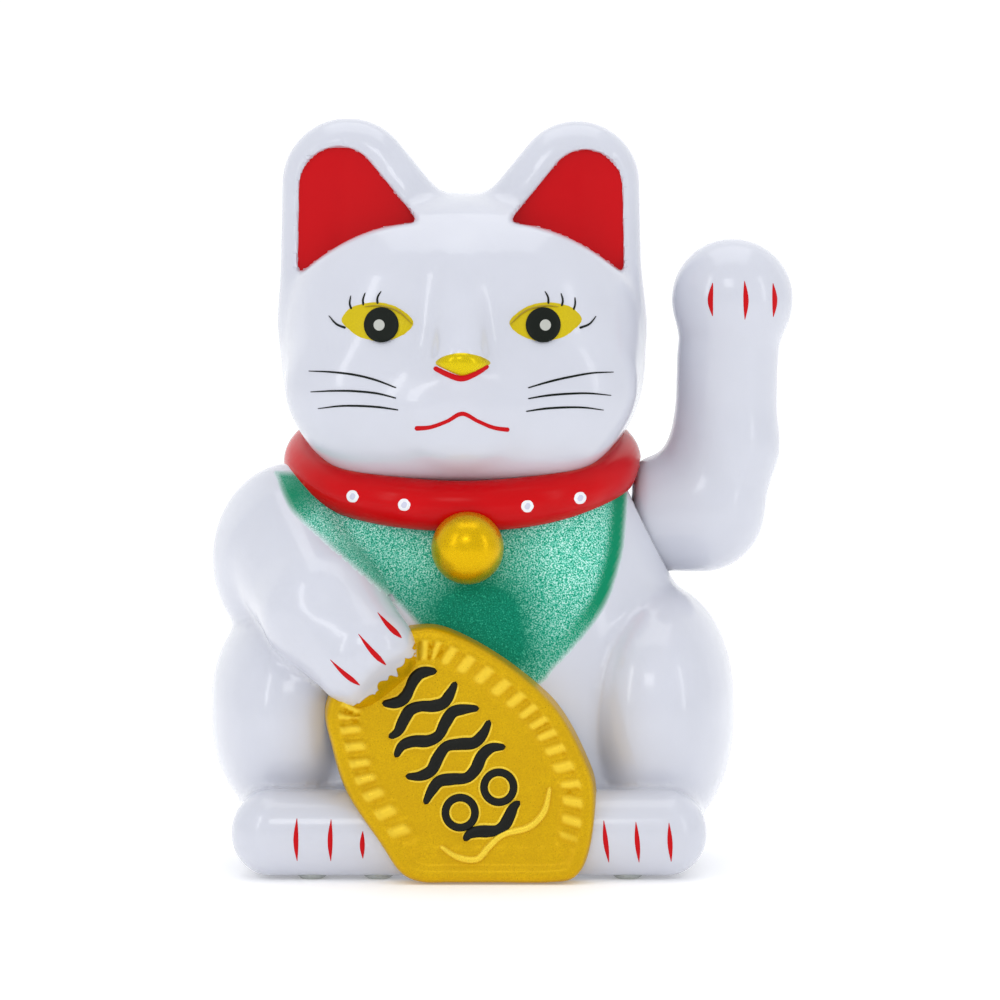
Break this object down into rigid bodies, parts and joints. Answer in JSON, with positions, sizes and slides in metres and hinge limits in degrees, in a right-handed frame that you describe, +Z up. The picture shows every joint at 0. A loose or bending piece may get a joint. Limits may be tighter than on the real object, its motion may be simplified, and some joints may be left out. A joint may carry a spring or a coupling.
{
  "type": "beckoning cat figurine",
  "caption": "Battery-powered waving cat: a hollow seated figure with a bell, a coin and a raised arm that swings.",
  "frame": {"origin": "under the middle of the whole figure, on the surface it stands on", "axes": "+Z up; the cat faces -Y; its raised arm is on the +X side"},
  "size_m": [0.1174, 0.0868, 0.1499],
  "materials": {
    "shell_white": "glossy",
    "collar_red": "glossy paint",
    "bell_gold": "metallic gold paint",
    "coin_gold": "metallic gold paint",
    "pad_rubber": "cloudy",
    "base_white": "matt",
    "frame_nylon": "matt",
    "steel": "plain",
    "magnet_nickel": "nickel plated",
    "coil_copper": "enamelled copper",
    "board_green": "solder mask",
    "component_black": "moulded",
    "capacitor_sleeve": "sleeve",
    "cell_sleeve": "printed sleeve, left plain",
    "contact_nickel": "nickel plated",
    "wire_red": "insulation",
    "paint_red": "glossy paint",
    "paint_black": "glossy paint",
    "paint_grey": "glossy paint",
    "paint_white": "glossy paint",
    "paint_gold": "metallic gold paint",
    "paint_yellow": "glossy paint",
    "bib_green": "glitter paint",
    "bib_border": "glossy paint",
    "coin_edge": "metallic gold paint",
    "collar_blush": "soft paint edge"
  },
  "bodies": {
    "figure": {"front_shell": "shell_white", "back_shell": "shell_white", "collar": "collar_red", "bell": "bell_gold", "koban_coin": "coin_gold", "base_plate": "base_white", "mechanism_frame": "frame_nylon", "coil_bobbin": "frame_nylon", "coil_winding": "coil_copper", "circuit_board": "board_green", "transistor": "component_black", "capacitor": "capacitor_sleeve", "battery_cell": "cell_sleeve", "battery_contact": "contact_nickel", "battery_spring": "contact_nickel", "switch_housing": "component_black", "foot_pad_1": "pad_rubber", "foot_pad_2": "pad_rubber", "foot_pad_3": "pad_rubber", "foot_pad_4": "pad_rubber", "foot_pad_5": "pad_rubber", "foot_pad_6": "pad_rubber", "base_screw_1": "steel", "base_screw_2": "steel", "base_screw_3": "steel", "base_screw_4": "steel", "frame_screw_1": "steel", "frame_screw_2": "steel", "wire_coil": "wire_red", "wire_battery": "wire_red"},
    "arm": {"arm_front_shell": "shell_white", "arm_back_shell": "shell_white", "arm_hub": "frame_nylon", "pivot_axle": "steel", "pendulum_bar": "frame_nylon", "counterweight": "steel", "magnet": "magnet_nickel"},
    "door": {"battery_door": "base_white"},
    "switch": {"switch_slider": "component_black"}
  },
  "joints": [
    {"name": "arm_swing", "type": "hinge", "parent": "figure", "child": "arm", "pos_m": [0.02653, 0.00693, 0.0693], "axis": [1, 0, 0], "range_deg": [-18, 18]},
    {"name": "battery_door_hinge", "type": "hinge", "parent": "figure", "child": "door", "pos_m": [0.01633, -0.01107, 0.00275], "axis": [0, -1, 0], "range_deg": [0, 75]},
    {"name": "switch_slide", "type": "slide", "parent": "figure", "child": "switch", "axis": [1, 0, 0], "range_m": [0, 0.003]}
  ]
}
